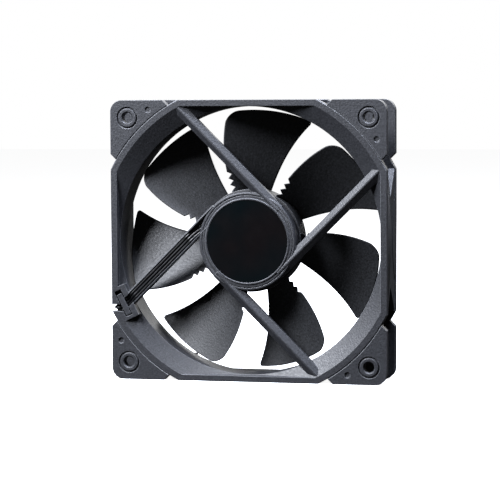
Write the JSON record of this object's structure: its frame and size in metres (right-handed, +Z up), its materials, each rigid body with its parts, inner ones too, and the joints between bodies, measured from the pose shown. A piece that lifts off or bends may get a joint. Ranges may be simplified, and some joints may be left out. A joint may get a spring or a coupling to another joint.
{
  "type": "case fan",
  "caption": "Square axial case fan: flanged frame with tangential struts, serrated blades on a round hub, motor cup, and a coiled lead with a plug.",
  "frame": {"origin": "On the shaft's axis, half way through the depth of the frame, at the centre of the frame's box", "axes": "+Y runs along the shaft from the exhaust side (struts, motor cup) to the intake side, +X right and +Z up, as seen from the exhaust side"},
  "size_m": [0.1214, 0.0538, 0.12],
  "materials": {
    "frame_plastic": "fine moulded grain",
    "impeller_plastic": "fine moulded grain",
    "label_film": "glossy film",
    "tube_brass": "nickel plated",
    "bearing_bronze": "sintered, oiled",
    "pad_plastic": "smooth",
    "seal_rubber": "smooth",
    "core_steel": "stamped laminations",
    "insulator_plastic": "moulded",
    "winding_copper": "enamelled copper wire",
    "board_laminate": "solder resist",
    "chip_epoxy": "moulded epoxy",
    "capacitor_ceramic": "fired",
    "pin_steel": "tinned",
    "wire_pvc": "semi-gloss insulation",
    "tie_plastic": "coated wire tie",
    "plug_plastic": "moulded",
    "contact_metal": "plated",
    "rotor_steel": "drawn",
    "magnet_ferrite": "bonded ferrite",
    "bush_brass": "turned",
    "shaft_steel": "ground",
    "clip_nylon": "moulded"
  },
  "bodies": {
    "root": {"fan_frame": "frame_plastic", "cable_clip": "frame_plastic", "rating_label": "label_film", "bearing_tube": "tube_brass", "sleeve_bearing": "bearing_bronze", "thrust_pad": "pad_plastic", "oil_seal": "seal_rubber", "stator_core": "core_steel", "front_insulator": "insulator_plastic", "rear_insulator": "insulator_plastic", "coil_right": "winding_copper", "coil_top": "winding_copper", "coil_left": "winding_copper", "coil_bottom": "winding_copper", "circuit_board": "board_laminate", "driver_chip": "chip_epoxy", "hall_sensor": "chip_epoxy", "board_capacitor": "capacitor_ceramic", "board_resistors": "chip_epoxy", "winding_pins": "pin_steel", "ground_wire": "wire_pvc", "supply_wire": "wire_pvc", "signal_wire": "wire_pvc", "lead_run": "wire_pvc", "lead_coil": "wire_pvc", "lead_tail": "wire_pvc", "lead_tie": "tie_plastic", "plug_housing": "plug_plastic", "plug_contacts": "contact_metal"},
    "rotor": {"impeller": "impeller_plastic", "rotor_cup": "rotor_steel", "magnet_ring": "magnet_ferrite", "shaft_bush": "bush_brass", "shaft": "shaft_steel", "shaft_clip": "clip_nylon"}
  },
  "joints": [
    {"name": "rotor_spin", "type": "hinge", "parent": "root", "child": "rotor", "pos_m": [0, 0, 0], "axis": [0, 1, 0], "continuous": true}
  ]
}
